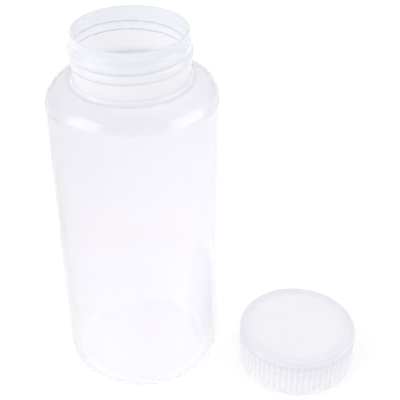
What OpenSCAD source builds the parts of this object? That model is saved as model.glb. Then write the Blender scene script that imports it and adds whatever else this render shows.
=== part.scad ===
// Wide-mouth reagent bottle in natural polypropylene, with its screw closure standing beside it.
// Millimetres, +Z up. The origin is on the bottle's axis, in the plane of its standing ring.

/* [Bottle body] */
// Outside diameter of the barrel
body_d = 74; // [68:0.5:90]
// Height from the table to the rim of the mouth
rim_h = 169.2; // [140:0.1:210]
// Wall thickness of the blown body
wall = 1.4; // [1:0.1:2]
// Radius of the rounded foot
foot_r = 5; // [3:0.5:7]
// Width of the flat ring that the bottle stands on
stand_w = 2.5; // [1.5:0.5:5]
// Height of the push-up in the middle of the base
push_up = 3; // [1:0.5:5]
// Radius of the rounded shoulder
shoulder_r = 8.5; // [6:0.5:10]
// Slope of the shoulder up to the neck, in degrees
shoulder_slope = 14; // [5:1:20]

/* [Neck] */
// Bore of the mouth
mouth_d = 46.4; // [44:0.2:47]
// Outside diameter of the neck below and between the thread turns
neck_d = 49.8; // [49:0.2:52]
// Height of the neck, from the top of its root fillet to the rim
neck_h = 20.2; // [19:0.2:26]
// Radius of the fillet at the root of the neck
neck_fillet_r = 2; // [1:0.25:3]
// Outside diameter of the plain lip band
lip_d = 48.7; // [48:0.1:49.4]
// Height of the plain lip band
lip_h = 4; // [3:0.25:5]
// Radius of the rounded rim
rim_r = 0.5; // [0.2:0.1:0.6]

/* [Screw thread] */
// Rise of the thread in one turn, six turns to the inch
pitch = 4.233; // [3.8:0.001:4.6]
// Outside diameter over the thread of the neck
thread_d = 51.8; // [51.2:0.1:52.6]
// Width of a thread ridge where it meets the wall
ridge_base_w = 2.9; // [2.4:0.1:3]
// Width of a thread ridge at its crest
ridge_crest_w = 1.3; // [0.8:0.1:1.6]
// Turns of thread on the neck
neck_turns = 1.57; // [1.1:0.01:1.7]
// Distance from the rim down to the middle of the thread's top end
thread_drop = 6; // [5.5:0.1:6.5]
// Direction of the thread's top end, in degrees anticlockwise from +X
thread_top_dir = 5; // [-180:5:180]
// Depth of the groove that the blown thread leaves inside the neck
groove_depth = 0.8; // [0.4:0.1:1]

/* [Closure] */
// Height of the cap
cap_h = 20; // [19:0.5:24]
// Thickness of the cap's roof
roof_t = 1.8; // [1.4:0.1:2.4]
// Thickness of the skirt between its ribs
skirt_t = 1.25; // [1:0.05:2]
// Radius of the cap's top edge
cap_edge_r = 2.2; // [1:0.2:3]
// Height of the smooth band under the top face
crown_h = 2.4; // [2:0.2:4]
// Diameter of the shallow recess in the top face
panel_d = 45.8; // [30:0.2:48]
// Depth of the recess in the top face
panel_depth = 0.35; // [0.2:0.05:0.6]
// Number of grip ribs
rib_count = 64; // [40:4:72]
// Height that the grip ribs stand proud
rib_h = 0.45; // [0.3:0.05:0.6]
// Width of a grip rib
rib_w = 1.3; // [0.9:0.1:1.5]
// Height of the plain band at the foot of the skirt
foot_band_h = 2.8; // [2:0.2:4]
// Number of notches in the foot of the skirt
notch_count = 16; // [8:1:20]
// Height of the notches
notch_h = 1.1; // [0.6:0.1:1.6]
// Turns of thread in the cap
cap_turns = 1.25; // [1:0.05:1.4]
// Radial clearance between the cap and the neck, at the crest and at the root of the thread
thread_clear = 0.5; // [0.3:0.05:0.6]
// Width of a cap thread ridge where it meets the skirt
cap_ridge_base_w = 2; // [1.6:0.1:2.4]
// Width of a cap thread ridge at its crest
cap_ridge_crest_w = 0.8; // [0.6:0.1:1]

/* [Sealing disc] */
// Thickness of the sealing disc
disc_t = 1.5; // [1:0.1:2]
// Radial clearance of the disc in the cap
disc_clear = 0.4; // [0.3:0.05:0.5]
// Gap between the disc and the faces that hold it
disc_gap = 0.1; // [0.1:0.05:0.2]
// Radius of the bead that keeps the disc in the cap
bead_r = 0.9; // [0.8:0.05:1]

/* [Where the closure stands] */
// Gap on the table between the bottle and the cap
cap_stand_off = 12; // [5:1:40]
// Direction from the bottle to the cap, in degrees anticlockwise from +X
cap_dir = -9.8; // [-180:0.1:180]

/* [Hidden] */
$fn = 96;

// Steps of the swept threads: each is this many degrees long
sweep_step = 7.5;
// Length of each thread run-out, in degrees
runout = 60;
// How far a thread ridge is rooted in the wall that carries it
ridge_root = 0.4;
// How far a cutting shape runs past the face that it opens
past = 1;
// Direction of the middle of one lug between the notches of the skirt
lug_dir = -96.2;

body_r = body_d / 2;
neck_r = neck_d / 2;
mouth_r = mouth_d / 2;
lip_r = lip_d / 2;
thread_r = thread_d / 2;

// The neck starts at the top of its root fillet, and the shoulder runs down from that fillet
neck_z = rim_h - neck_h;
slope_top_r = neck_r + neck_fillet_r;
slope_top_z = neck_z - neck_fillet_r / cos(shoulder_slope);
shoulder_centre_r = body_r - shoulder_r;
slope_foot_r = shoulder_centre_r + shoulder_r * sin(shoulder_slope);
slope_foot_z = slope_top_z - (slope_foot_r - slope_top_r) * tan(shoulder_slope);
shoulder_z = slope_foot_z - shoulder_r * cos(shoulder_slope);

// The push-up is part of a sphere whose edge is the inside of the standing ring
stand_in_r = body_r - foot_r - stand_w;
dome_r = (stand_in_r * stand_in_r + push_up * push_up) / (2 * push_up);

// The thread of the neck, counted from its bottom end
thread_top_z = rim_h - thread_drop;
thread_bottom_z = thread_top_z - neck_turns * pitch;
thread_bottom_dir = thread_top_dir - neck_turns * 360;

// The cap, in its own frame: z = 0 is the foot of its skirt
cap_bore_r = thread_r + thread_clear;
cap_crest_r = neck_r + thread_clear / 2;
skirt_r = cap_bore_r + skirt_t;
cap_r = skirt_r + rib_h;
roof_z = cap_h - roof_t;
disc_r = cap_bore_r - disc_clear;
disc_z = roof_z - disc_gap - disc_t;
bead_z = disc_z - disc_gap - bead_r;

// Screwed home, the disc lies on the rim, and the cap's ridge lies midway under the ridge of the neck
seat_z = rim_h - disc_z;
cap_thread_dir = thread_bottom_dir + 180;
cap_thread_z = thread_bottom_z - seat_z;

cap_x = (body_r + cap_stand_off + cap_r) * cos(cap_dir);
cap_y = (body_r + cap_stand_off + cap_r) * sin(cap_dir);

// Height of the sloped part of the shoulder at radius r, for a surface that lies inset inside the outer one
function slope_z(r, inset) =
    let (
        foot_at = shoulder_centre_r + (shoulder_r - inset) * sin(shoulder_slope),
        foot_z = shoulder_z + (shoulder_r - inset) * cos(shoulder_slope)
    )
    foot_z + (foot_at - r) * tan(shoulder_slope);

// Half of the barrel and shoulder in section, inset from the outer surface, with a neck of radius at_r
module body_section(inset, at_r, fillet) {
    foot = foot_r - inset;
    shoulder = shoulder_r - inset;
    slope_foot = shoulder_centre_r + shoulder * sin(shoulder_slope);
    fillet_r = at_r + fillet;
    fillet_z = slope_z(fillet_r, inset) + fillet / cos(shoulder_slope);
    // straight barrel, rounded foot and rounded shoulder
    translate([0, foot_r]) square([body_r - inset, shoulder_z - foot_r]);
    translate([0, inset]) square([body_r - foot_r, shoulder_z - inset]);
    translate([body_r - foot_r, foot_r]) circle(foot);
    translate([shoulder_centre_r, shoulder_z]) circle(shoulder);
    // sloped shoulder under the neck
    polygon([
        [0, shoulder_z],
        [shoulder_centre_r, shoulder_z],
        [slope_foot, slope_z(slope_foot, inset)],
        [0, slope_z(0, inset)]
    ]);
    // root fillet of the neck, which meets the slope where both run the same way
    meet = fillet_r - fillet * sin(shoulder_slope);
    difference() {
        polygon([
            [at_r - past, slope_z(meet, inset) - past],
            [meet, slope_z(meet, inset) - past],
            [meet, slope_z(meet, inset)],
            [fillet_r, fillet_z],
            [at_r - past, fillet_z]
        ]);
        translate([fillet_r, fillet_z]) circle(fillet);
    }
}

// Outside of the bottle in half section
module outer_section() {
    intersection() {
        union() {
            body_section(0, neck_r, neck_fillet_r);
            translate([0, slope_top_z]) square([neck_r, rim_h - lip_h - slope_top_z]);
            translate([0, slope_top_z]) square([lip_r, rim_h - rim_r - slope_top_z]);
            translate([0, slope_top_z]) square([lip_r - rim_r, rim_h - slope_top_z]);
            translate([lip_r - rim_r, rim_h - rim_r]) circle(rim_r);
        }
        square([body_r, rim_h]);
    }
}

// Hollow of the bottle in half section
module hollow_section() {
    difference() {
        intersection() {
            union() {
                body_section(wall, mouth_r, neck_fillet_r + wall);
                translate([0, slope_top_z - wall]) square([mouth_r, rim_h + past - slope_top_z + wall]);
            }
            square([body_r, rim_h + past]);
        }
        dome_section(dome_r + wall);
    }
}

// Half section of a sphere of the given radius about the centre of the push-up
module dome_section(r) {
    intersection() {
        translate([0, push_up - dome_r]) circle(r, $fn = 360);
        translate([0, -past]) square([body_r, push_up + wall + 2 * past]);
    }
}

// A helical ridge, from from_z at from_dir upwards. It stands from base_r to crest_r, which may be
// the smaller of the two, and it fades in and out at its ends.
module ridge(base_r, crest_r, base_w, crest_w, from_z, from_dir, turns) {
    steps = ceil(turns * 360 / sweep_step);
    span = turns * 360;
    side = crest_r > base_r ? 1 : -1;
    root_r = base_r - side * ridge_root;
    rings = [for (i = [0:steps])
        let (
            turned = span * i / steps,
            full = min(1, turned / runout, (span - turned) / runout),
            tip_r = base_r + (crest_r - base_r) * full - side * (1 - full) * ridge_root / 2,
            base = base_w / 2,
            tip = crest_w / 2,
            z = from_z + pitch * turned / 360,
            a = from_dir + turned
        )
        for (p = [[root_r, -base], [tip_r, -tip], [tip_r, tip], [root_r, base]])
            [p[0] * cos(a), p[0] * sin(a), z + p[1]]];
    quads = [for (i = [0:steps - 1], k = [0:3])
        let (n = (k + 1) % 4)
        side > 0
            ? [4 * i + k, 4 * i + n, 4 * i + 4 + n, 4 * i + 4 + k]
            : [4 * i + k, 4 * i + 4 + k, 4 * i + 4 + n, 4 * i + n]];
    ends = side > 0
        ? [[3, 2, 1, 0], [4 * steps, 4 * steps + 1, 4 * steps + 2, 4 * steps + 3]]
        : [[0, 1, 2, 3], [4 * steps + 3, 4 * steps + 2, 4 * steps + 1, 4 * steps]];
    polyhedron(points = rings, faces = concat(quads, ends));
}

// Blow-moulded bottle: barrel, shoulder, threaded neck and pushed-up base in one hollow piece
module bottle() {
    color([0.90, 0.92, 0.95]) difference() {
        union() {
            rotate_extrude() outer_section();
            ridge(neck_r, thread_r, ridge_base_w, ridge_crest_w, thread_bottom_z, thread_bottom_dir, neck_turns);
        }
        rotate_extrude() hollow_section();
        rotate_extrude() dome_section(dome_r);
        ridge(mouth_r, mouth_r + groove_depth, ridge_base_w, ridge_crest_w,
            thread_bottom_z, thread_bottom_dir, neck_turns);
    }
}

// Soft disc under the roof of the cap, which the rim of the bottle presses into
module sealing_disc() {
    color([0.97, 0.97, 0.96])
        translate([cap_x, cap_y, disc_z]) cylinder(h = disc_t, r = disc_r);
}

// Solid outline of the cap in half section: crown with a rounded edge, skirt and foot band
module cap_section() {
    square([skirt_r, cap_h - cap_edge_r]);
    square([cap_r, foot_band_h]);
    square([cap_r - cap_edge_r, cap_h]);
    translate([0, cap_h - crown_h]) square([cap_r, crown_h - cap_edge_r]);
    translate([cap_r - cap_edge_r, cap_h - cap_edge_r]) circle(cap_edge_r);
}

// Grip ribs on the skirt, rounded across
module grip_ribs() {
    rib_curve_r = (rib_w * rib_w / 4 + rib_h * rib_h) / (2 * rib_h);
    for (i = [0:rib_count - 1])
        rotate(lug_dir + i * 360 / rib_count)
            translate([cap_r - rib_curve_r, 0, foot_band_h / 2])
                cylinder(h = cap_h - crown_h - foot_band_h / 2 + crown_h / 4, r = rib_curve_r, $fn = 24);
}

// Notches that leave the skirt standing on a ring of lugs
module foot_notches() {
    notch_angle = 180 / notch_count;
    notch_w = 2 * cap_r * sin(notch_angle / 2);
    for (i = [0:notch_count - 1])
        rotate(lug_dir + (i + 0.5) * 360 / notch_count)
            translate([cap_bore_r - past, -notch_w / 2, -past])
                cube([cap_r - cap_bore_r + 2 * past, notch_w, notch_h + past]);
}

// Moulded screw cap: roof, ribbed skirt, inside thread and the bead that keeps the disc
module screw_cap() {
    color([0.92, 0.93, 0.95]) translate([cap_x, cap_y, 0]) {
        difference() {
            union() {
                rotate_extrude() cap_section();
                grip_ribs();
            }
            translate([0, 0, -past]) cylinder(h = roof_z + past, r = cap_bore_r);
            translate([0, 0, cap_h - panel_depth]) cylinder(h = panel_depth + past, d = panel_d);
            foot_notches();
        }
        ridge(cap_bore_r, cap_crest_r, cap_ridge_base_w, cap_ridge_crest_w,
            cap_thread_z, cap_thread_dir, cap_turns);
        rotate_extrude() intersection() {
            translate([cap_bore_r, bead_z]) circle(bead_r);
            translate([0, bead_z - bead_r]) square([cap_bore_r + skirt_t / 2, 2 * bead_r]);
        }
    }
}

bottle();
sealing_disc();
screw_cap();
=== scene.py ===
"""A wide-mouth reagent bottle in natural polypropylene, with its screw cap standing beside it."""
import math

import bpy
from mathutils import Matrix, Vector


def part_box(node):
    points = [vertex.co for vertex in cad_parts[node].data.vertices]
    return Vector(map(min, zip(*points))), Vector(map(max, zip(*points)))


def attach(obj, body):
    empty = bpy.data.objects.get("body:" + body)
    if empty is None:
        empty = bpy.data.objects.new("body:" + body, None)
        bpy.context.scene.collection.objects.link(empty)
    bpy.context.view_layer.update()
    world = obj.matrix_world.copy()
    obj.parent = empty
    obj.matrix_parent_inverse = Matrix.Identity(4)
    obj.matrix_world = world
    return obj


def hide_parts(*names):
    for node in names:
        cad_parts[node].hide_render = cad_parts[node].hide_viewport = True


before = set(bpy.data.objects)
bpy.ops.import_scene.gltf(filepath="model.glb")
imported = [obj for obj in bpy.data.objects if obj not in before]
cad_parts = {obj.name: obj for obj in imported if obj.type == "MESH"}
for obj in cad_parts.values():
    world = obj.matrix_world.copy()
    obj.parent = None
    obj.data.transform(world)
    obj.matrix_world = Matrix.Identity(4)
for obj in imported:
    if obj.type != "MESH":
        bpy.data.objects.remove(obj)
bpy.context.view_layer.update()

# ---------------------------------------------------------------- The bottle
# One hollow piece of natural polypropylene, blow-moulded, so its wall is nearly even all over and the
# thread shows inside the neck as a groove. Its base is pushed up and it stands on a narrow ring.

mm = 0.001
bottle_low, bottle_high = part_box("bottle")
body_r = bottle_high[0]
rim_z = bottle_high[2]
wall = 1.4 * mm
foot_r = 5 * mm
stand_w = 2.5 * mm
push_up = 3 * mm
shoulder_r = 8.5 * mm
shoulder_slope = math.radians(14)
mouth_r = 23.2 * mm
neck_r = 24.9 * mm
neck_h = 21.76 * mm  # from the rim down to where the shoulder's slope would meet the neck
neck_root_z = rim_z - neck_h
neck_fillet = 2 * mm
inner_fillet = 2.6 * mm
lip_r = 24.35 * mm
lip_h = 4 * mm
lip_step = 0.8 * mm
rim_edge = 0.5 * mm
mouth_edge = 0.35 * mm
ripple_h = 0.04 * mm

pitch = 4.233 * mm
thread_r = 25.9 * mm
ridge_base = 4.1 * mm
crease_w = 0.55 * mm
neck_turns = 1.57
thread_drop = 6 * mm
thread_top_turn = 5 / 360
groove_depth = 0.45 * mm
groove_lift = 0.5 * mm
run_out = 60 / 360


def arc(centre, radius, start, end, steps):
    """Points along an arc in the half section, from start to end in degrees, both ends included."""
    angles = [math.radians(start + (end - start) * i / steps) for i in range(steps + 1)]
    return [(centre[0] + radius * math.cos(a), centre[1] + radius * math.sin(a)) for a in angles]


def straight(start, end, steps):
    """Points between two ends of a straight stretch, the ends left out."""
    return [
        (start[0] + (end[0] - start[0]) * i / steps, start[1] + (end[1] - start[1]) * i / steps)
        for i in range(1, steps)
    ]


def join_up(*stretches):
    """One outline from stretches of points, with neighbours that coincide kept once."""
    outline = []
    for point in (p for stretch in stretches for p in stretch):
        if not outline or math.dist(point, outline[-1]) > 1e-7:
            outline.append(point)
    return outline


def bottle_outline():
    """Half section of the bottle: from under the base up the outside to the rim, and down the inside."""
    slope_deg = math.degrees(shoulder_slope)
    tan_s, sin_s, cos_s = math.tan(shoulder_slope), math.sin(shoulder_slope), math.cos(shoulder_slope)
    neck_z = neck_root_z + neck_fillet / cos_s - neck_fillet * tan_s
    root_r = neck_r + neck_fillet * (1 - sin_s)
    root_z = neck_root_z - (root_r - neck_r) * tan_s
    shoulder_at = body_r - shoulder_r
    slope_foot = shoulder_at + shoulder_r * sin_s
    slope_foot_z = neck_root_z - (slope_foot - neck_r) * tan_s
    shoulder_z = slope_foot_z - shoulder_r * cos_s
    foot_at = (body_r - foot_r, foot_r)
    stand_in = body_r - foot_r - stand_w
    dome_r = (stand_in**2 + push_up**2) / (2 * push_up)
    dome_at = (0, push_up - dome_r)
    dome_edge = math.degrees(math.acos(stand_in / dome_r))
    lip_z = rim_z - lip_h

    inner_foot = shoulder_at + (shoulder_r - wall) * sin_s
    inner_foot_z = shoulder_z + (shoulder_r - wall) * cos_s
    inner_at = mouth_r + inner_fillet
    inner_fillet_z = inner_foot_z + (inner_foot - inner_at) * tan_s + inner_fillet / cos_s
    floor_r = math.sqrt((dome_r + wall) ** 2 - (wall - dome_at[1]) ** 2)
    floor_edge = math.degrees(math.acos(floor_r / (dome_r + wall)))

    outside = join_up(
        arc(dome_at, dome_r, 90, dome_edge, 14),
        arc(foot_at, foot_r, -90, 0, 12),
        straight((body_r, foot_r), (body_r, shoulder_z), 20),
        arc((shoulder_at, shoulder_z), shoulder_r, 0, 90 - slope_deg, 14),
        straight((slope_foot, slope_foot_z), (root_r, root_z), 12),
        arc((neck_r + neck_fillet, neck_z), neck_fillet, 270 - slope_deg, 180, 8),
        straight((neck_r, neck_z), (neck_r, lip_z - lip_step), 50),
        [(neck_r, lip_z - lip_step), ((neck_r + lip_r) / 2, lip_z - lip_step / 2)],
        straight((lip_r, lip_z), (lip_r, rim_z - rim_edge), 5),
        arc((lip_r - rim_edge, rim_z - rim_edge), rim_edge, 0, 90, 5),
    )
    inside = join_up(
        arc((mouth_r + mouth_edge, rim_z - mouth_edge), mouth_edge, 90, 180, 4),
        straight((mouth_r, rim_z - mouth_edge), (mouth_r, inner_fillet_z), 84),
        arc((inner_at, inner_fillet_z), inner_fillet, 180, 270 - slope_deg, 8),
        arc((shoulder_at, shoulder_z), shoulder_r - wall, 90 - slope_deg, 0, 12),
        straight((body_r - wall, shoulder_z), (body_r - wall, foot_r), 20),
        arc(foot_at, foot_r - wall, 0, -90, 10),
        arc(dome_at, dome_r + wall, floor_edge, 90, 14),
    )
    return outside, inside


def outline_object(name, outside, inside):
    """The half section as a chain of edges, with Y 0 on the outside and 1 on the inside.

    The chain runs from its lower end to its upper one, so that the turned faces point outwards.
    """
    chain = bpy.data.meshes.new(name)
    points = [(r, 0, z) for r, z in outside] + [(r, 1, z) for r, z in inside]
    if points[0][2] > points[-1][2]:
        points.reverse()
    chain.from_pydata(points, [(i, i + 1) for i in range(len(points) - 1)], [])
    made = bpy.data.objects.new(name, chain)
    bpy.context.collection.objects.link(made)
    return made


def feed(tree, socket, value):
    """Links an output to a socket, or sets the socket to a plain value."""
    if isinstance(value, bpy.types.NodeSocket):
        tree.links.new(value, socket)
    else:
        socket.default_value = value


def add_node(tree, kind, inputs=None, **settings):
    """A new node with its settings made, and then its inputs fed by name or number."""
    node = tree.nodes.new(kind)
    for setting, value in settings.items():
        setattr(node, setting, value)
    for label, value in (inputs or {}).items():
        feed(tree, node.inputs[label], value)
    return node


def work_out(tree, operation, *values, clamp=False):
    """The result of a Math node, in any node tree."""
    node = add_node(tree, "ShaderNodeMath", operation=operation, use_clamp=clamp)
    for socket, value in zip(node.inputs, values):
        feed(tree, socket, value)
    return node.outputs[0]


def product(tree, first, *others):
    """Values multiplied together."""
    for other in others:
        first = work_out(tree, "MULTIPLY", first, other)
    return first


def total(tree, first, *others):
    """Values added together."""
    for other in others:
        first = work_out(tree, "ADD", first, other)
    return first


def distance(tree, across, up):
    """How far a point lies from a place that it is across and up from."""
    return work_out(tree, "SQRT", total(tree, product(tree, across, across), product(tree, up, up)))


def ramp(tree, value, low, high):
    """Smooth rise from 0 at low to 1 at high; low may be the larger of the two."""
    limits = {"Value": value, "From Min": low, "From Max": high}
    return add_node(tree, "ShaderNodeMapRange", limits, interpolation_type="SMOOTHSTEP").outputs["Result"]


def soft_line(tree, value, at, half_width, core):
    """1 where a value is within core of a place, fading to 0 at half_width from it."""
    off = work_out(tree, "ABSOLUTE", work_out(tree, "SUBTRACT", value, at))
    return ramp(tree, off, half_width, core)


def split(tree, vector):
    """The X, Y and Z of a vector."""
    return add_node(tree, "ShaderNodeSeparateXYZ", {"Vector": vector}).outputs


def noise(tree, vector, scale, detail):
    """A value that wanders round 0.5 from place to place."""
    inputs = {"Vector": vector, "Scale": scale, "Detail": detail}
    return add_node(tree, "ShaderNodeTexNoise", inputs).outputs["Fac"]


def mixed(tree, share, first, second):
    """A colour between two others."""
    inputs = {"Factor": share, "A": first, "B": second}
    return add_node(tree, "ShaderNodeMix", inputs, data_type="RGBA").outputs["Result"]


def shaping_tree(name, sizes):
    """A Geometry Nodes tree with one named input for each size, and those inputs as its nodes read them."""
    tree = bpy.data.node_groups.new(name, "GeometryNodeTree")
    tree.interface.new_socket("Geometry", in_out="INPUT", socket_type="NodeSocketGeometry")
    tree.interface.new_socket("Geometry", in_out="OUTPUT", socket_type="NodeSocketGeometry")
    kinds = {int: "NodeSocketInt", float: "NodeSocketFloat", bpy.types.Material: "NodeSocketMaterial"}
    for label, value in sizes.items():
        tree.interface.new_socket(label, in_out="INPUT", socket_type=kinds[type(value)])
    return tree, tree.nodes.new("NodeGroupInput").outputs


def turn_on_axis(tree, size, reshape, finishes=()):
    """Turns the outline that the tree is given once round the axis. size holds the tree's inputs.

    reshape takes a point's turn, radius, height and side, and gives its new radius, its new height and how
    much painted shade darkens its colour. Each finish is the label of one more material and what picks the
    faces that get it.
    """
    outline = size["Geometry"]
    count = add_node(tree, "GeometryNodeAttributeDomainSize", {"Geometry": outline}).outputs["Point Count"]
    last = work_out(tree, "SUBTRACT", count, 1)
    columns = total(tree, size["Segments"], 1)
    lattice = {"Size X": 1, "Size Y": last, "Vertices X": columns, "Vertices Y": count}
    shape = add_node(tree, "GeometryNodeMeshGrid", lattice).outputs["Mesh"]

    here = add_node(tree, "GeometryNodeInputPosition").outputs[0]
    flat = split(tree, here)
    turn = total(tree, flat["X"], 0.5)
    number = work_out(tree, "ROUND", total(tree, flat["Y"], work_out(tree, "DIVIDE", last, 2)))
    asked = {"Geometry": outline, "Value": here, "Index": number}
    point = add_node(tree, "GeometryNodeSampleIndex", asked, data_type="FLOAT_VECTOR").outputs["Value"]
    section = split(tree, point)

    radius, height, painted_shade = reshape(turn, section["X"], section["Z"], section["Y"])
    angle = product(tree, turn, 2 * math.pi)
    along_x = product(tree, radius, work_out(tree, "COSINE", angle))
    along_y = product(tree, radius, work_out(tree, "SINE", angle))
    spot = add_node(tree, "ShaderNodeCombineXYZ", {"X": along_x, "Y": along_y, "Z": height}).outputs[0]

    for kind, inputs in (
        ("GeometryNodeStoreNamedAttribute", {"Name": "painted_shade", "Value": painted_shade}),
        ("GeometryNodeSetPosition", {"Position": spot}),
        ("GeometryNodeMergeByDistance", {"Distance": 0.001 * mm}),
        ("GeometryNodeSetShadeSmooth", {}),
        ("GeometryNodeRealizeInstances", {}),
        ("GeometryNodeSetMaterial", {"Material": size["Material"]}),
    ):
        shape = add_node(tree, kind, {"Geometry": shape, **inputs}).outputs[0]
    for label, pick in finishes:
        chosen = {"Geometry": shape, "Selection": pick(split(tree, here)), "Material": size[label]}
        shape = add_node(tree, "GeometryNodeSetMaterial", chosen).outputs[0]
    add_node(tree, "NodeGroupOutput", {"Geometry": shape})


def thread_height(tree, size, turn, height):
    """How high on a rounded right-hand ridge a point lies, and how near the ridge's foot, both 0 to 1."""
    since = work_out(tree, "SUBTRACT", turn, size["Thread start turn"])
    above_start = work_out(tree, "SUBTRACT", height, size["Thread start height"])
    off = work_out(tree, "SUBTRACT", work_out(tree, "DIVIDE", above_start, size["Pitch"]), since)
    lap = work_out(tree, "ROUND", off)
    away = work_out(tree, "ABSOLUTE", product(tree, work_out(tree, "SUBTRACT", off, lap), size["Pitch"]))
    across = work_out(tree, "DIVIDE", product(tree, away, math.pi), size["Ridge base"])
    flank = work_out(tree, "COSINE", work_out(tree, "MINIMUM", across, math.pi / 2))
    turned = total(tree, since, lap)
    left = work_out(tree, "SUBTRACT", size["Thread turns"], turned)
    fade = ramp(tree, work_out(tree, "MINIMUM", turned, left), 0, size["Run-out"])
    crease = soft_line(tree, away, work_out(tree, "DIVIDE", size["Ridge base"], 2), crease_w, 0)
    return product(tree, flank, fade), product(tree, crease, fade)


def shaped(made, tree, sizes, name, at=(0, 0, 0)):
    """Runs a tree on an object and gives back its result as a plain mesh object, placed in its mesh."""
    shaper = made.modifiers.new(tree.name, "NODES")
    shaper.node_group = tree
    sockets = {s.name: s.identifier for s in tree.interface.items_tree if s.in_out == "INPUT"}
    for label, value in sizes.items():
        shaper[sockets[label]] = value
    evaluated = made.evaluated_get(bpy.context.evaluated_depsgraph_get())
    mesh = bpy.data.meshes.new_from_object(evaluated)
    mesh.name = name
    mesh.materials.pop(index=0)  # the outline's own slot, which is empty
    mesh.transform(Matrix.Translation(at))
    piece = bpy.data.objects.new(name, mesh)
    bpy.context.collection.objects.link(piece)
    made.modifiers.remove(shaper)
    bpy.data.objects.remove(made)
    return piece


def haze_group():
    """Shader group for unpigmented polypropylene: cloudy, darkened by painted shade where the mesh asks,
    grained and scuffed.
    """
    tree = bpy.data.node_groups.new("polypropylene haze", "ShaderNodeTree")
    taken = {
        "Low colour": "NodeSocketColor",
        "High colour": "NodeSocketColor",
        "Low height": "NodeSocketFloat",
        "High height": "NodeSocketFloat",
        "Shade colour": "NodeSocketColor",
        "Roughness": "NodeSocketFloat",
        "Cloud size": "NodeSocketFloat",
        "Scuffs": "NodeSocketFloat",
    }
    given_back = {"Colour": "NodeSocketColor", "Roughness": "NodeSocketFloat", "Relief": "NodeSocketFloat"}
    for way, sockets in (("INPUT", taken), ("OUTPUT", given_back)):
        for label, kind in sockets.items():
            tree.interface.new_socket(label, in_out=way, socket_type=kind)
    given = tree.nodes.new("NodeGroupInput").outputs
    where = add_node(tree, "ShaderNodeTexCoord").outputs["Object"]

    cloud_in_colour, cloud_in_relief = 0.7, 0.6
    cloud = noise(tree, where, given["Cloud size"], detail=3)
    sway = product(tree, work_out(tree, "SUBTRACT", cloud, 0.5), cloud_in_colour)
    # The colour goes from Low colour to High colour with height; on the bottle's barrel this is painted
    # light, lighter low down and darker towards the shoulder.
    rise = ramp(tree, split(tree, where)["Z"], given["Low height"], given["High height"])
    share = work_out(tree, "ADD", rise, sway, clamp=True)
    colour = mixed(tree, share, given["Low colour"], given["High colour"])
    # Painted shade: the mesh's painted_shade attribute mixes in the Shade colour where shade would fall, in
    # creases, corners, grooves and edges.
    painted_shade = add_node(tree, "ShaderNodeAttribute", attribute_name="painted_shade").outputs["Fac"]
    colour = mixed(tree, painted_shade, colour, given["Shade colour"])

    grain_in_roughness, grain_in_relief = 0.06, 0.15
    grain = noise(tree, where, scale=1400, detail=2)

    scuff_in_roughness, scuff_in_relief = 0.15, -0.3
    scratch_from, scratch_full = 0.66, 0.74
    scratch_run = {"Vector": where, "Scale": (1500, 1500, 160), "Rotation": (0.9, 0.5, 0)}
    along_scratches = add_node(tree, "ShaderNodeMapping", scratch_run).outputs[0]
    scratch = ramp(tree, noise(tree, along_scratches, scale=1, detail=1), scratch_from, scratch_full)
    scuff = product(tree, scratch, given["Scuffs"])

    roughness = total(
        tree,
        given["Roughness"],
        product(tree, grain, grain_in_roughness),
        product(tree, scuff, scuff_in_roughness),
    )
    relief = total(
        tree,
        product(tree, cloud, cloud_in_relief),
        product(tree, grain, grain_in_relief),
        product(tree, scuff, scuff_in_relief),
    )
    add_node(tree, "NodeGroupOutput", {"Colour": colour, "Roughness": roughness, "Relief": relief})
    return tree


haze = haze_group()
plastic_ior = 1.49
relief_h = 0.03 * mm
relief_strength = 0.4


def polypropylene(name, see_through, lamplight, surface_values, tint=None):
    """Unpigmented polypropylene: see-through but milky, with a soft shine.

    lamplight is the share of lamplight and soft light that thin walls let straight through. tint changes
    the colour in a way that only one piece has.
    """
    material = bpy.data.materials.new(name)
    material.use_nodes = True
    tree = material.node_tree
    shader = tree.nodes["Principled BSDF"]
    surface = add_node(tree, "ShaderNodeGroup", surface_values, node_tree=haze).outputs
    bump = {"Strength": relief_strength, "Distance": relief_h, "Height": surface["Relief"]}
    colour = surface["Colour"]
    if tint:
        colour = tint(tree, colour)
    for label, value in {
        "IOR": plastic_ior,
        "Transmission Weight": see_through,
        "Base Color": colour,
        "Roughness": surface["Roughness"],
        "Normal": add_node(tree, "ShaderNodeBump", bump).outputs["Normal"],
    }.items():
        feed(tree, shader.inputs[label], value)

    path = add_node(tree, "ShaderNodeLightPath").outputs
    soft_light = work_out(tree, "MAXIMUM", path["Is Shadow Ray"], path["Is Diffuse Ray"])
    unbent = add_node(tree, "ShaderNodeBsdfTransparent").outputs[0]
    either = {0: product(tree, soft_light, lamplight), 1: shader.outputs[0], 2: unbent}
    lit = add_node(tree, "ShaderNodeMixShader", either).outputs[0]
    feed(tree, tree.nodes["Material Output"].inputs["Surface"], lit)
    return material


def rosy_middle(tree, colour):
    """Adds the faint rosy patches in the middle of the barrel."""
    rose = (0.908, 0.886, 0.912, 1)
    half_width, core_share = 34 * mm, 0.3
    patch_scale, patch_from, patch_full = 22, 0.3, 0.62
    where = add_node(tree, "ShaderNodeTexCoord").outputs["Object"]
    place = split(tree, where)
    middle = product(
        tree,
        ramp(tree, work_out(tree, "ABSOLUTE", place["X"]), half_width, half_width * core_share),
        ramp(tree, place["Z"], 130 * mm, 105 * mm),
        ramp(tree, place["Z"], 20 * mm, 50 * mm),
        ramp(tree, noise(tree, where, patch_scale, detail=1), patch_from, patch_full),
    )
    return mixed(tree, middle, colour, rose)


# Painted light: the barrel's colour is lighter low down, near the table, and darker towards the shoulder.
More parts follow.
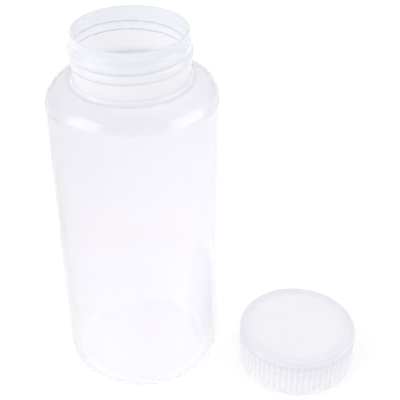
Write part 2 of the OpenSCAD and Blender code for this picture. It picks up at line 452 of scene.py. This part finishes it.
blown_plastic = polypropylene(
    "blown polypropylene",
    see_through=0.93,
    lamplight=0.95,
    tint=rosy_middle,
    surface_values={
        "Low colour": (0.94, 0.936, 0.963, 1),
        "High colour": (0.886, 0.878, 0.912, 1),
        "Low height": 0,
        "High height": 118 * mm,
        "Shade colour": (0.6, 0.65, 0.8, 1),
        "Roughness": 0.12,
        "Cloud size": 60,
        "Scuffs": 0.3,
    },
)
neck_plastic = polypropylene(
    "neck polypropylene",
    see_through=0.38,
    lamplight=0.95,
    surface_values={
        "Low colour": (0.934, 0.93, 0.962, 1),
        "High colour": (0.9, 0.92, 0.965, 1),
        "Low height": 158 * mm,
        "High height": 167 * mm,
        "Shade colour": (0.5, 0.54, 0.71, 1),
        "Roughness": 0.15,
        "Cloud size": 60,
        "Scuffs": 0.2,
    },
)
# The faced rim is milkier and rougher, and its colour is set darker as painted shade, holding down the light
# on its flat top.
shaded_rim_plastic = polypropylene(
    "faced rim painted darker",
    see_through=0.08,
    lamplight=0.85,
    surface_values={
        "Low colour": (0.87, 0.88, 0.93, 1),
        "High colour": (0.87, 0.88, 0.93, 1),
        "Low height": 155 * mm,
        "High height": 165 * mm,
        "Shade colour": (0.6, 0.65, 0.8, 1),
        "Roughness": 0.45,
        "Cloud size": 60,
        "Scuffs": 0.2,
    },
)

bottle_sizes = {
    "Segments": 336,
    "Thread start turn": thread_top_turn - neck_turns,
    "Thread start height": rim_z - thread_drop - neck_turns * pitch,
    "Pitch": pitch,
    "Ridge base": ridge_base,
    "Thread turns": neck_turns,
    "Run-out": run_out,
    "Ridge height": thread_r - neck_r,
    "Groove depth": groove_depth,
    "Groove lift": groove_lift,
    "Ripple": ripple_h,
    "Neck from": neck_root_z + 0.75 * mm,
    "Neck inside from": neck_root_z - 1.65 * mm,
    "Neck reach": neck_r + 0.3 * mm,
    "Neck material": neck_plastic,
    "Rim from": rim_z - 1.2 * rim_edge,
    "Rim material": shaded_rim_plastic,
    "Material": blown_plastic,
}
bottle_tree, bottle_size = shaping_tree("blow-moulded bottle", bottle_sizes)


def wall_ripple(turn, radius, height):
    """The slight waviness of a blown wall, always inwards, on the barrel alone."""
    tree = bottle_tree
    waves_up, wave_scale = 14, 1.3
    noise_top = 0.8
    angle = product(tree, turn, 2 * math.pi)
    ring = {
        "X": work_out(tree, "COSINE", angle),
        "Y": work_out(tree, "SINE", angle),
        "Z": product(tree, height, waves_up),
    }
    waves = noise(tree, add_node(tree, "ShaderNodeCombineXYZ", ring).outputs[0], wave_scale, detail=1)
    sway = work_out(tree, "SUBTRACT", waves, noise_top)
    barrel = ramp(tree, radius, body_r - 4 * mm, body_r - wall)
    return product(tree, sway, bottle_size["Ripple"], barrel)


def neck_shade(radius, height, inside, outside, on_neck):
    """Painted shade in the corner at the neck's root, inside and out, and a slightly deeper tone on the
    neck's wall, with painted shade a little deeper on its inside.
    """
    tree = bottle_tree
    corner_shade, corner_soft_shade, fillet_top_shade = 0.5, 0.06, 0.12
    inner_corner_shade, inner_soft_shade = 0.3, 0.2
    neck_wall_tone, more_shade_inside = 0.03, 0.02
    corner_r, corner_z = neck_r + 1.5 * mm, neck_root_z - 0.35 * mm
    fillet_top_z = neck_root_z + 1.6 * mm
    inner_corner_z = neck_root_z + 0.9 * mm

    # Painted shade: a dark line in the outer corner, soft shade round it, and a faint line at the fillet's
    # top.
    past_corner = work_out(tree, "SUBTRACT", radius, corner_r)
    away = distance(tree, past_corner, work_out(tree, "SUBTRACT", height, corner_z))
    fillet_line = soft_line(tree, height, fillet_top_z, 0.7 * mm, 0.1 * mm)
    on_wall = ramp(tree, past_corner, -0.9 * mm, -1.2 * mm)
    outer = total(
        tree,
        product(tree, ramp(tree, away, 0.9 * mm, 0.2 * mm), corner_shade),
        product(tree, ramp(tree, away, 3 * mm, 0.5 * mm), corner_soft_shade),
        product(tree, fillet_line, on_wall, fillet_top_shade),
    )

    # Painted shade: a dark line at the inner corner of the root, with soft shade above it.
    above = work_out(tree, "SUBTRACT", height, inner_corner_z)
    fading = product(tree, ramp(tree, above, 3.4 * mm, 0), ramp(tree, above, -1.5 * mm, 0))
    inner_line = soft_line(tree, above, 0, 0.6 * mm, 0.1 * mm)
    inner = total(tree, product(tree, inner_line, inner_corner_shade), product(tree, fading, inner_soft_shade))

    root_shade = total(tree, product(tree, outer, outside), product(tree, inner, inside))
    wall_tone_and_shade = product(tree, on_neck, total(tree, product(tree, inside, more_shade_inside), neck_wall_tone))
    return root_shade, wall_tone_and_shade


def shoulder_shade(radius, height):
    """Painted shade where the shoulder turns down into the barrel."""
    tree = bottle_tree
    bend_shade = 0.05
    return product(
        tree,
        ramp(tree, radius, 28.5 * mm, 32 * mm),
        ramp(tree, radius, body_r - 0.1 * mm, 34 * mm),
        ramp(tree, height, 120 * mm, 130 * mm),
        bend_shade,
    )


def shape_bottle(turn, radius, height, inside):
    """The thread on the neck, inside and out, the ripple of the barrel and the painted shade."""
    tree, size = bottle_tree, bottle_size
    outside = work_out(tree, "SUBTRACT", 1, inside)
    matched = work_out(tree, "SUBTRACT", height, product(tree, inside, size["Groove lift"]))
    lift, crease = thread_height(tree, size, turn, matched)
    on_neck = ramp(tree, height, neck_root_z, neck_root_z + neck_fillet)
    ridge = product(tree, outside, size["Ridge height"])
    groove = product(tree, inside, size["Groove depth"])
    raised = product(tree, lift, on_neck, total(tree, ridge, groove))
    moved = total(tree, radius, raised, wall_ripple(turn, radius, height))

    # Painted shade along the thread's creases, strongest inside the neck.
    outer_crease_shade = 0.17
    crease_shade = product(tree, crease, total(tree, inside, product(tree, outside, outer_crease_shade)))
    root_shade, wall_tone_and_shade = neck_shade(radius, height, inside, outside, on_neck)
    darkest_shade = work_out(tree, "MAXIMUM", crease_shade, root_shade)
    return moved, height, total(tree, darkest_shade, wall_tone_and_shade, shoulder_shade(radius, height))


def neck_faces(place):
    """The neck above its root, and its inside from a little lower."""
    tree, size = bottle_tree, bottle_size
    outer = work_out(tree, "GREATER_THAN", place["Z"], size["Neck from"])
    inner = work_out(tree, "GREATER_THAN", place["Z"], size["Neck inside from"])
    near = work_out(tree, "LESS_THAN", distance(tree, place["X"], place["Y"]), size["Neck reach"])
    return work_out(tree, "MAXIMUM", outer, product(tree, inner, near))


def rim_faces(place):
    """The rim, which is faced flat after moulding."""
    return work_out(bottle_tree, "GREATER_THAN", place["Z"], bottle_size["Rim from"])


bottle_finishes = (("Neck material", neck_faces), ("Rim material", rim_faces))
turn_on_axis(bottle_tree, bottle_size, shape_bottle, bottle_finishes)
bottle_half = outline_object("bottle_outline", *bottle_outline())
bottle = shaped(bottle_half, bottle_tree, bottle_sizes, "blown_bottle")
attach(bottle, "bottle")
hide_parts("bottle")

# ---------------------------------------------------------------- The sealing disc
# A soft disc stamped from white polyethylene foam. It lies loose under the roof of the cap, above a bead,
# and the rim of the bottle has pressed a faint ring into it.

disc_low, disc_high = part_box("sealing_disc")
disc_r = (disc_high[0] - disc_low[0]) / 2
cap_at = ((disc_low[0] + disc_high[0]) / 2, (disc_low[1] + disc_high[1]) / 2, 0)
disc_edge = 0.25 * mm
press_depth = 0.12 * mm


def disc_outline():
    """Half section of the disc: its underside out to its edge, and back in over its top."""
    bottom, top = disc_low[2], disc_high[2]
    press_at = (mouth_r + lip_r) / 2
    press_w = (lip_r - mouth_r) / 2
    steps = 8
    across = [2 * i / steps - 1 for i in range(steps + 1)]
    pressed = [
        (press_at + press_w * x, bottom + press_depth * (1 + math.cos(math.pi * x)) / 2) for x in across
    ]
    under = join_up(
        [(0, bottom)],
        straight((0, bottom), (press_at - press_w, bottom), 10),
        pressed,
        arc((disc_r - disc_edge, bottom + disc_edge), disc_edge, -90, 0, 4),
    )
    over = join_up(
        arc((disc_r - disc_edge, top - disc_edge), disc_edge, 0, 90, 4),
        straight((disc_r - disc_edge, top), (0, top), 12),
        [(0, top)],
    )
    return under, over


def foam_material():
    """Fine closed cells: a pitted white surface, a little cloudy in colour."""
    cell_scale, cloud_scale = 1800, 90
    pit_depth, pit_strength = 0.08 * mm, 0.5
    base_roughness, cell_roughness = 0.6, 0.2
    dull_white, clean_white = (0.86, 0.86, 0.88, 1), (0.92, 0.92, 0.93, 1)
    material = bpy.data.materials.new("polyethylene foam")
    material.use_nodes = True
    tree = material.node_tree
    where = add_node(tree, "ShaderNodeTexCoord").outputs["Object"]
    cell_inputs = {"Vector": where, "Scale": cell_scale}
    cells = add_node(tree, "ShaderNodeTexVoronoi", cell_inputs).outputs["Distance"]
    cloud = noise(tree, where, cloud_scale, detail=2)
    pits = {"Strength": pit_strength, "Distance": pit_depth, "Height": cells}
    surface = tree.nodes["Principled BSDF"].inputs
    feed(tree, surface["Base Color"], mixed(tree, cloud, dull_white, clean_white))
    feed(tree, surface["Roughness"], total(tree, product(tree, cells, cell_roughness), base_roughness))
    feed(tree, surface["Normal"], add_node(tree, "ShaderNodeBump", pits).outputs["Normal"])
    return material


disc_sizes = {"Segments": 128, "Material": foam_material()}
disc_tree, disc_size = shaping_tree("stamped disc", disc_sizes)
turn_on_axis(disc_tree, disc_size, lambda turn, radius, height, inside: (radius, height, 0))
disc_half = outline_object("disc_outline", *disc_outline())
disc = shaped(disc_half, disc_tree, disc_sizes, "foam_disc", cap_at)
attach(disc, "sealing_disc")
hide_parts("sealing_disc")

# ---------------------------------------------------------------- The screw cap
# One piece of natural polypropylene, injection-moulded: a roof with a shallow recess, a skirt with fine
# grip ribs above a plain band that is notched at its foot, and inside a thread and the disc's bead.

cap_low, cap_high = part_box("screw_cap")
cap_r = (cap_high[0] - cap_low[0]) / 2
cap_h = cap_high[2] - cap_low[2]
roof_t = 1.8 * mm
cap_bore_r = 26.4 * mm
skirt_r = 27.65 * mm
cap_edge = 2.2 * mm
foot_edge = 0.3 * mm
panel_r = 22.9 * mm
panel_depth = 0.35 * mm
panel_edge = 0.6 * mm
foot_band_h = 2.8 * mm
notch_h = 1.1 * mm
rib_count = 64
notch_count = 16
lug_turn = -96.2 / 360
cap_turns = 1.25
cap_crest_r = 25.15 * mm
cap_ridge_base = 2.6 * mm
cap_thread_top = 13 * mm
bead_r = 0.9 * mm
bead_gap = 0.1 * mm
bead_edge = 0.1 * mm
seat_z = rim_z - disc_low[2]


def cap_outline():
    """Half section of the cap: from the middle of its top, down the outside, and up the inside."""
    roof_z = cap_h - roof_t
    bead_z = disc_low[2] - bead_gap - bead_r
    panel_z = cap_h - panel_depth
    lean_deg = math.degrees(math.acos(1 - panel_depth / (2 * panel_edge)))
    lean = panel_edge * math.sin(math.radians(lean_deg))
    outside = join_up(
        [(0, panel_z)],
        straight((0, panel_z), (panel_r - lean, panel_z), 8),
        arc((panel_r - lean, panel_z + panel_edge), panel_edge, -90, lean_deg - 90, 4),
        arc((panel_r + lean, cap_h - panel_edge), panel_edge, 90 + lean_deg, 90, 4),
        arc((cap_r - cap_edge, cap_h - cap_edge), cap_edge, 90, 0, 12),
        straight((cap_r, cap_h - cap_edge), (cap_r, foot_band_h + mm), 20),
        straight((cap_r, foot_band_h + mm), (cap_r, foot_band_h), 4),
        straight((cap_r, foot_band_h), (cap_r, foot_edge), 6),
        arc((cap_r - foot_edge, foot_edge), foot_edge, 0, -90, 3),
    )
    inside = join_up(
        arc((cap_bore_r + foot_edge, foot_edge), foot_edge, -90, -180, 3),
        straight((cap_bore_r, foot_edge), (cap_bore_r, bead_z - bead_r), 44),
        arc((cap_bore_r, bead_z), bead_r - bead_edge, -90, -270, 10),
        straight((cap_bore_r, bead_z + bead_r), (cap_bore_r, roof_z), 4),
        [(cap_bore_r, roof_z)],
        straight((cap_bore_r, roof_z), (0, roof_z), 8),
        [(0, roof_z)],
    )
    return outside, inside


moulded_plastic = polypropylene(
    "moulded polypropylene",
    see_through=0.22,
    lamplight=0.8,
    surface_values={
        "Low colour": (0.988, 0.98, 1, 1),
        "High colour": (0.953, 0.945, 0.988, 1),
        "Low height": 6 * mm,
        "High height": 17 * mm,
        "Shade colour": (0.71, 0.7, 0.83, 1),
        "Roughness": 0.38,
        "Cloud size": 90,
        "Scuffs": 0.4,
    },
)
cap_sizes = {
    "Segments": 640,
    "Thread start turn": thread_top_turn - neck_turns + 0.5,  # half a turn on, between the neck's turns
    "Thread start height": rim_z - thread_drop - neck_turns * pitch - seat_z,
    "Pitch": pitch,
    "Ridge base": cap_ridge_base,
    "Thread turns": cap_turns,
    "Run-out": run_out,
    "Ridge height": cap_bore_r - cap_crest_r,
    "Rib height": cap_r - skirt_r,
    "Ribs": rib_count,
    "Notches": notch_count,
    "Notch height": notch_h,
    "Material": moulded_plastic,
}
cap_tree, cap_size = shaping_tree("moulded cap", cap_sizes)


def crown_shade(radius, height):
    """Painted shade on the crown: round the recess, most at its edge, and where it turns down."""
    tree = cap_tree
    ring_shade, inner_edge_shade, rounding_shade = 0.15, 0.3, 0.12
    on_top = ramp(tree, height, 14 * mm, 15 * mm)
    ring = product(tree, ramp(tree, radius, panel_r - panel_edge, panel_r), on_top)
    edge_line = product(tree, soft_line(tree, radius, panel_r, 0.5 * mm, 0.2 * mm), ring)
    turned_down = product(tree, ramp(tree, radius, 25.6 * mm, 27 * mm), ramp(tree, height, 15 * mm, 17 * mm))
    return total(
        tree,
        product(tree, total(tree, ring, product(tree, edge_line, inner_edge_shade)), ring_shade),
        product(tree, turned_down, rounding_shade),
    )


def skirt_shade(radius, height):
    """Painted shade for what shows faintly through the skirt: the thread, a line near its top and one at the
    disc.
    """
    tree = cap_tree
    thread_shade, line_shade = 0.07, 0.13
    thread_line_z, disc_line_z = 12.2 * mm, 17 * mm
    thread_foot = ramp(tree, height, 8.5 * mm, 10 * mm)
    thread_top = ramp(tree, height, 15 * mm, 13.5 * mm)
    thread_line = soft_line(tree, height, thread_line_z, 1.1 * mm, 0.2 * mm)
    disc_line = soft_line(tree, height, disc_line_z, 1.5 * mm, 0.2 * mm)
    on_skirt = ramp(tree, radius, cap_bore_r - 0.4 * mm, cap_bore_r + 0.6 * mm)
    shown_shade = product(tree, total(tree, thread_line, disc_line), on_skirt, line_shade)
    return total(tree, product(tree, thread_foot, thread_top, thread_shade), shown_shade)


def shape_cap(turn, radius, height, inside):
    """Grip ribs on the skirt, notches in its foot, the thread inside it and the painted shade."""
    tree, size = cap_tree, cap_size
    outside = work_out(tree, "SUBTRACT", 1, inside)
    from_lug = work_out(tree, "SUBTRACT", turn, lug_turn)
    groove_from, groove_full = 0.12, 0.36
    across_rib = work_out(tree, "PINGPONG", product(tree, from_lug, size["Ribs"]), 0.5)
    grooves = product(
        tree,
        ramp(tree, across_rib, groove_from, groove_full),
        ramp(tree, height, foot_band_h - 0.4 * mm, foot_band_h + 0.4 * mm),
        ramp(tree, height, cap_h - 1.1 * mm, cap_h - 3 * mm),
        outside,
    )
    proud = work_out(tree, "MAXIMUM", work_out(tree, "SUBTRACT", radius, skirt_r), 0)
    cut = product(tree, grooves, work_out(tree, "MINIMUM", proud, size["Rib height"]))

    lift, _ = thread_height(tree, size, turn, height)
    in_bore = ramp(tree, radius, cap_bore_r + 0.3 * mm, cap_bore_r)
    below_bead = ramp(tree, height, cap_thread_top, cap_thread_top - 0.5 * mm)
    ridge = product(tree, lift, in_bore, below_bead, size["Ridge height"])
    moved = work_out(tree, "SUBTRACT", work_out(tree, "SUBTRACT", radius, cut), ridge)

    notch_from, notch_full = 0.235, 0.265
    across_notch = work_out(tree, "PINGPONG", product(tree, from_lug, size["Notches"]), 0.5)
    notch = ramp(tree, across_notch, notch_from, notch_full)
    raised = product(tree, notch, size["Notch height"], ramp(tree, height, 2 * notch_h, 0.35 * mm))

    # Painted shade in the rib grooves, on the crown and on the skirt, and a painted shadow at the foot of
    # each notch.
    groove_shade, notch_shade = 0.24, 0.5
    crown_and_skirt_shade = product(tree, total(tree, crown_shade(radius, height), skirt_shade(radius, height)), outside)
    painted_shade = work_out(tree, "ADD", product(tree, grooves, groove_shade), crown_and_skirt_shade, clamp=True)
    notch_foot_shadow = product(tree, notch, ramp(tree, height, 1.2 * mm, 0.4 * mm), notch_shade)
    return moved, total(tree, height, raised), work_out(tree, "MAXIMUM", painted_shade, notch_foot_shadow)


turn_on_axis(cap_tree, cap_size, shape_cap)
cap_half = outline_object("cap_outline", *cap_outline())
cap = shaped(cap_half, cap_tree, cap_sizes, "ribbed_cap", cap_at)
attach(cap, "screw_cap")
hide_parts("screw_cap")

# ---------------------------------------------------------------- The table
# A plain white table. The eye sees it a little brighter than the lamps light it, and so do reflections and
# see-through plastic, most of all behind and under the bottle.

table_half = 3
table_white = (0.94, 0.94, 0.94, 1)
eye_glow = 0.16
seen_glow = 0.22
pool_glow = 0.2
pool_at = (0.14, 0.14, 0)
under_glow = 0.05

table_mesh = bpy.data.meshes.new("table")
corners = [(x * table_half, y * table_half, 0) for x, y in ((-1, -1), (1, -1), (1, 1), (-1, 1))]
table_mesh.from_pydata(corners, [], [(0, 1, 2, 3)])
table = bpy.data.objects.new("table", table_mesh)
bpy.context.collection.objects.link(table)

table_finish = bpy.data.materials.new("white table")
table_finish.use_nodes = True
tree = table_finish.node_tree
spot = add_node(tree, "ShaderNodeTexCoord").outputs["Object"]
from_pool = add_node(tree, "ShaderNodeVectorMath", {0: spot, 1: pool_at}, operation="DISTANCE")
from_axis = add_node(tree, "ShaderNodeVectorMath", {0: spot}, operation="LENGTH")
behind = product(tree, ramp(tree, from_pool.outputs["Value"], 280 * mm, 80 * mm), pool_glow)
beneath = product(tree, ramp(tree, from_axis.outputs["Value"], 31 * mm, 27 * mm), under_glow)
glow = total(tree, behind, beneath, seen_glow)
path = add_node(tree, "ShaderNodeLightPath").outputs
to_eye = product(tree, path["Is Camera Ray"], work_out(tree, "SUBTRACT", eye_glow, glow))
not_eye = total(tree, path["Is Glossy Ray"], path["Is Transmission Ray"])
seen = work_out(tree, "ADD", path["Is Camera Ray"], not_eye, clamp=True)
for label, value in {
    "Base Color": table_white,
    "Roughness": 0.8,
    "Specular IOR Level": 0.1,
    "Emission Color": (1, 1, 1, 1),
    "Emission Strength": product(tree, total(tree, glow, to_eye), seen),
}.items():
    feed(tree, tree.nodes["Principled BSDF"].inputs[label], value)
table_mesh.materials.append(table_finish)

# ---------------------------------------------------------------- The light
# A white surround for soft light from everywhere, two large softboxes low on the left and right, and for
# reflections alone a darker side and two bright cards.

soft_level = 0.87
dark_side = (0.1, -0.75, 0.65)
dark_from, dark_full = 0.35, 0.9
dark_share = 0.6
card_edge = math.radians(3)

world = bpy.data.worlds.new("surround")
bpy.context.scene.world = world
world.use_nodes = True
tree = world.node_tree
direction = add_node(tree, "ShaderNodeTexCoord").outputs["Generated"]
aim = split(tree, direction)
bearing = work_out(tree, "ARCTAN2", aim["Y"], aim["X"])
above = work_out(tree, "ARCSINE", aim["Z"])


def card(at, half_size, level):
    """A soft-edged bright panel that only reflections see, placed and sized in degrees."""
    covered = []
    for angle, middle, half in zip((bearing, above), at, half_size):
        middle, half = math.radians(middle), math.radians(half)
        covered.append(soft_line(tree, angle, middle, half + card_edge, half - card_edge))
    return product(tree, *covered, level)


facing = add_node(tree, "ShaderNodeVectorMath", {0: direction, 1: dark_side}, operation="DOT_PRODUCT")
darker = product(tree, ramp(tree, facing.outputs["Value"], dark_from, dark_full), dark_share)
left_card = card(at=(-154, 15), half_size=(22, 38), level=0.75)
right_card = card(at=(-13, 12), half_size=(26, 34), level=0.8)
mirrored = total(tree, work_out(tree, "SUBTRACT", 1, darker), left_card, right_card)
path = add_node(tree, "ShaderNodeLightPath").outputs
white = work_out(tree, "MAXIMUM", path["Is Transmission Ray"], path["Is Camera Ray"])
plain = product(
    tree, work_out(tree, "MAXIMUM", soft_level, white), work_out(tree, "SUBTRACT", 1, path["Is Glossy Ray"])
)
backdrop = tree.nodes["Background"].inputs
feed(tree, backdrop["Color"], (1, 1, 1, 1))
feed(tree, backdrop["Strength"], total(tree, plain, product(tree, mirrored, path["Is Glossy Ray"])))

lamps_face = Vector((0.04, 0, 0.08))


def softbox(name, at, width, height, watts):
    """A large rectangular lamp turned towards the bottle and its cap."""
    lamp = bpy.data.lights.new(name, "AREA")
    lamp.shape = "RECTANGLE"
    lamp.size = width
    lamp.size_y = height
    lamp.energy = watts
    holder = bpy.data.objects.new(name, lamp)
    holder.location = at
    holder.rotation_euler = (lamps_face - Vector(at)).to_track_quat("-Z", "Y").to_euler()
    bpy.context.collection.objects.link(holder)


softbox("left softbox", at=(-1.019, -0.516, 0.629), width=1, height=1.2, watts=2.8)
softbox("right softbox", at=(1.164, -0.198, 0.451), width=0.92, height=0.9, watts=1.4)

# ---------------------------------------------------------------- The camera
# Looks down on the bottle from in front, a little to its right, as one does at a bench. Light may bounce
# often enough to pass through both walls of the bottle and the cap.

look_down = math.radians(34.82)

eye = bpy.data.cameras.new("camera")
eye.sensor_width = 36
eye.lens = 78.54
camera = bpy.data.objects.new("camera", eye)
camera.location = (0.02838, -0.32834, 0.31306)
camera.rotation_euler = (math.radians(90) - look_down, 0, 0)
bpy.context.collection.objects.link(camera)
bpy.context.scene.camera = camera
bpy.context.scene.view_settings.view_transform = "Standard"
bounces = bpy.context.scene.cycles
bounces.max_bounces = 32
bounces.diffuse_bounces = 12
bounces.glossy_bounces = 12
bounces.transmission_bounces = 32
